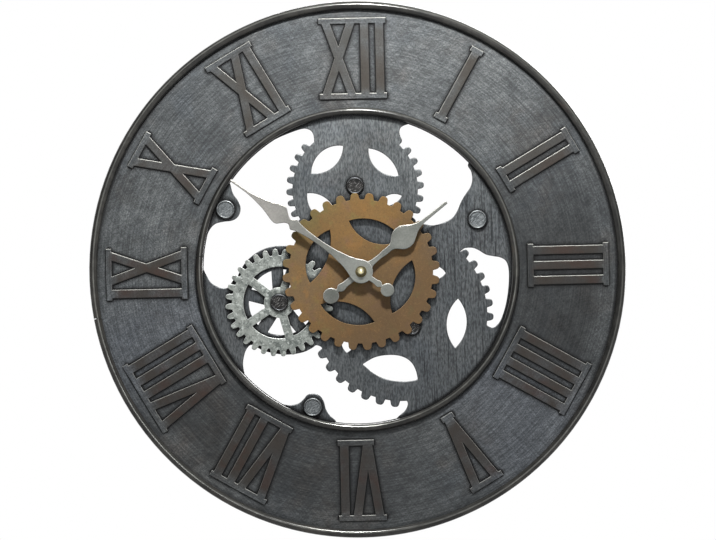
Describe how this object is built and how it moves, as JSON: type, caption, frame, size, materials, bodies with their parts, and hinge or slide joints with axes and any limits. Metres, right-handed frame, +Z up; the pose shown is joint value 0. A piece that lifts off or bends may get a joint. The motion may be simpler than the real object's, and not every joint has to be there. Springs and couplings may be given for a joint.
{
  "type": "gear wall clock",
  "caption": "Round wall clock: dark metal dial ring with raised Roman numerals, open skeleton plate of gears, silver and brown dress gears, spade hands and a rear quartz movement.",
  "frame": {"origin": "middle of the hanger keyhole's entry hole, in the wall plane", "axes": "-Y is the front of the dial, +Y points into the wall, +Z is up, +X is to the right seen from the front"},
  "size_m": [0.4, 0.0428, 0.4],
  "materials": {
    "dial_sheet": "satin",
    "hoop_steel": "satin",
    "plate_steel": "satin, vertical brush marks",
    "galvanised_steel": "mottled satin",
    "rust_brown": "matte",
    "black_bolt_steel": "satin",
    "grey_bolt_steel": "satin",
    "zinc_steel": "satin",
    "black_rubber": "matte",
    "black_plastic": "matte",
    "white_plastic": "satin",
    "movement_brass": "satin",
    "battery_sleeve": "gloss",
    "contact_nickel": "polished",
    "board_green": "satin",
    "chip_black": "matte",
    "copper_wire": "satin",
    "magnet_dark": "satin",
    "hand_steel": "satin",
    "cap_brass": "polished"
  },
  "bodies": {
    "clock_case": {"dial_ring": "dial_sheet", "outer_hoop": "hoop_steel", "inner_hoop": "hoop_steel", "ring_rivets": "zinc_steel", "skeleton_plate": "plate_steel", "silver_gear": "galvanised_steel", "silver_spacer": "zinc_steel", "brown_gear": "rust_brown", "brown_gear_tube": "black_bolt_steel", "lug_bolts": "grey_bolt_steel", "standoff_pillars": "zinc_steel", "rubber_feet": "black_rubber", "gear_bolts": "black_bolt_steel", "gear_bolt_nuts": "zinc_steel", "hanger_bracket": "zinc_steel", "movement_front_case": "black_plastic", "movement_rear_cover": "black_plastic", "movement_middle_plate": "white_plastic", "threaded_bush": "movement_brass", "rubber_washer": "black_rubber", "brass_washer": "movement_brass", "hex_nut": "movement_brass", "battery": "battery_sleeve", "plus_contact": "contact_nickel", "minus_contact": "contact_nickel", "circuit_board": "board_green", "chip": "chip_black", "quartz_crystal": "contact_nickel", "coil_bobbin": "white_plastic", "coil_winding": "copper_wire", "stator": "zinc_steel"},
    "minute_set": {"minute_arbor": "movement_brass", "minute_hand": "hand_steel", "cap_nut": "cap_brass"},
    "hour_set": {"hour_wheel": "white_plastic", "hour_hand": "hand_steel"},
    "motion_set": {"motion_wheel": "white_plastic"},
    "knob_set": {"setting_knob": "black_plastic"},
    "rotor_set": {"rotor": "magnet_dark"},
    "intermediate_set": {"intermediate_wheel": "white_plastic"},
    "seconds_set": {"seconds_wheel": "white_plastic"},
    "third_set": {"third_wheel": "white_plastic"},
    "centre_set": {"centre_wheel": "movement_brass"}
  },
  "joints": [
    {"name": "minute_spin", "type": "hinge", "parent": "clock_case", "child": "minute_set", "pos_m": [0.0026, -0.015, -0.1357], "axis": [0, 1, 0], "continuous": true},
    {"name": "hour_spin", "type": "hinge", "parent": "clock_case", "child": "hour_set", "pos_m": [0.0026, -0.015, -0.1357], "axis": [0, 1, 0], "continuous": true},
    {"name": "motion_spin", "type": "hinge", "parent": "clock_case", "child": "motion_set", "pos_m": [0.0146, -0.015, -0.1357], "axis": [0, 1, 0], "continuous": true},
    {"name": "knob_spin", "type": "hinge", "parent": "clock_case", "child": "knob_set", "pos_m": [0.02443, -0.015, -0.12882], "axis": [0, 1, 0], "continuous": true},
    {"name": "rotor_spin", "type": "hinge", "parent": "clock_case", "child": "rotor_set", "pos_m": [0.01851, -0.015, -0.12377], "axis": [0, 1, 0], "continuous": true},
    {"name": "intermediate_spin", "type": "hinge", "parent": "clock_case", "child": "intermediate_set", "pos_m": [0.00982, -0.015, -0.12144], "axis": [0, 1, 0], "continuous": true},
    {"name": "seconds_spin", "type": "hinge", "parent": "clock_case", "child": "seconds_set", "pos_m": [0.00046, -0.015, -0.12309], "axis": [0, 1, 0], "continuous": true},
    {"name": "third_spin", "type": "hinge", "parent": "clock_case", "child": "third_set", "pos_m": [-0.00675, -0.015, -0.1303], "axis": [0, 1, 0], "continuous": true},
    {"name": "centre_spin", "type": "hinge", "parent": "clock_case", "child": "centre_set", "pos_m": [0.0026, -0.015, -0.1357], "axis": [0, 1, 0], "continuous": true}
  ],
  "couplings": [
    {"joint": "hour_spin", "follows": "minute_spin", "ratio": 0.083333},
    {"joint": "motion_spin", "follows": "minute_spin", "ratio": -0.33333},
    {"joint": "knob_spin", "follows": "minute_spin", "ratio": 1},
    {"joint": "intermediate_spin", "follows": "rotor_spin", "ratio": -0.125},
    {"joint": "seconds_spin", "follows": "rotor_spin", "ratio": 0.033333},
    {"joint": "third_spin", "follows": "rotor_spin", "ratio": -0.0044444},
    {"joint": "centre_spin", "follows": "rotor_spin", "ratio": 0.00055556}
  ]
}
